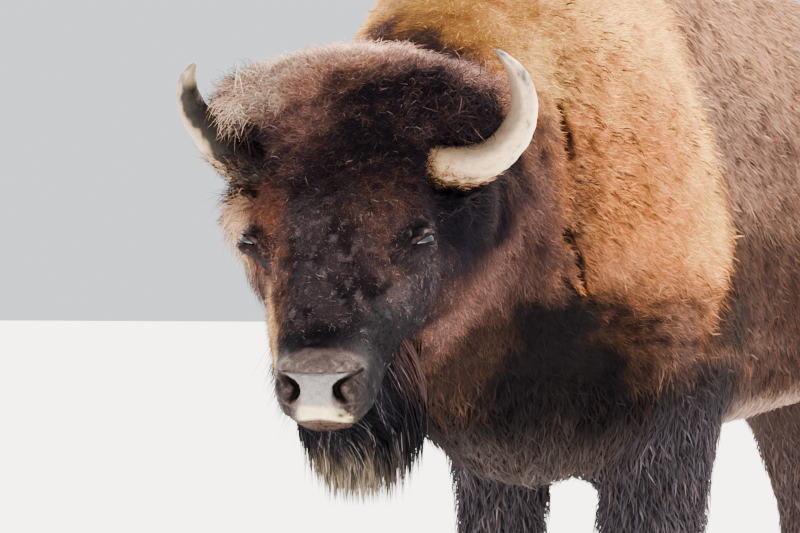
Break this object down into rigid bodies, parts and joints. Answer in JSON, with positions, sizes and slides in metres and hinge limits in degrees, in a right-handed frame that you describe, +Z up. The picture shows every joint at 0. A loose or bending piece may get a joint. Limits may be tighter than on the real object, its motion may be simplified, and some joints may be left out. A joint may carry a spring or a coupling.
{
  "type": "standing american bison model",
  "caption": "Life-size still model of an American bison cow in winter coat, standing with its head low and turned a little to its left",
  "frame": {"origin": "middle of the floor under the whole animal's box, on the floor plane its hooves stand on", "axes": "the animal faces -Y, its left side is towards +X, +Z is up"},
  "size_m": [0.5828, 2.2456, 1.5483],
  "materials": {
    "short_winter_hair": "short dark brown winter hair over hide",
    "tan_shoulder_hair": "dense woolly tan hair of hump, neck and shoulder",
    "rear_body_hair": "grey-brown body hair in streaked locks",
    "dark_long_hair": "long blackish hair of legs, beard and tail tuft",
    "horn_keratin": "worn pale horn, greyer at the tips",
    "hoof_keratin": "dark hoof horn",
    "wet_eye": "wet dark eye"
  },
  "bodies": {
    "root": {"beard": "dark_long_hair", "head": "short_winter_hair", "left_ear": "short_winter_hair", "left_eye": "wet_eye", "left_fore_left_claw": "hoof_keratin", "left_fore_left_dewclaw": "hoof_keratin", "left_fore_right_claw": "hoof_keratin", "left_fore_right_dewclaw": "hoof_keratin", "left_foreleg": "dark_long_hair", "left_hind_left_claw": "hoof_keratin", "left_hind_left_dewclaw": "hoof_keratin", "left_hind_leg": "dark_long_hair", "left_hind_right_claw": "hoof_keratin", "left_hind_right_dewclaw": "hoof_keratin", "left_horn": "horn_keratin", "neck": "tan_shoulder_hair", "right_ear": "short_winter_hair", "right_eye": "wet_eye", "right_fore_left_claw": "hoof_keratin", "right_fore_left_dewclaw": "hoof_keratin", "right_fore_right_claw": "hoof_keratin", "right_fore_right_dewclaw": "hoof_keratin", "right_foreleg": "dark_long_hair", "right_hind_left_claw": "hoof_keratin", "right_hind_left_dewclaw": "hoof_keratin", "right_hind_leg": "dark_long_hair", "right_hind_right_claw": "hoof_keratin", "right_hind_right_dewclaw": "hoof_keratin", "right_horn": "horn_keratin", "tail": "rear_body_hair", "tail_tuft": "dark_long_hair", "trunk": "rear_body_hair"}
  },
  "joints": []
}
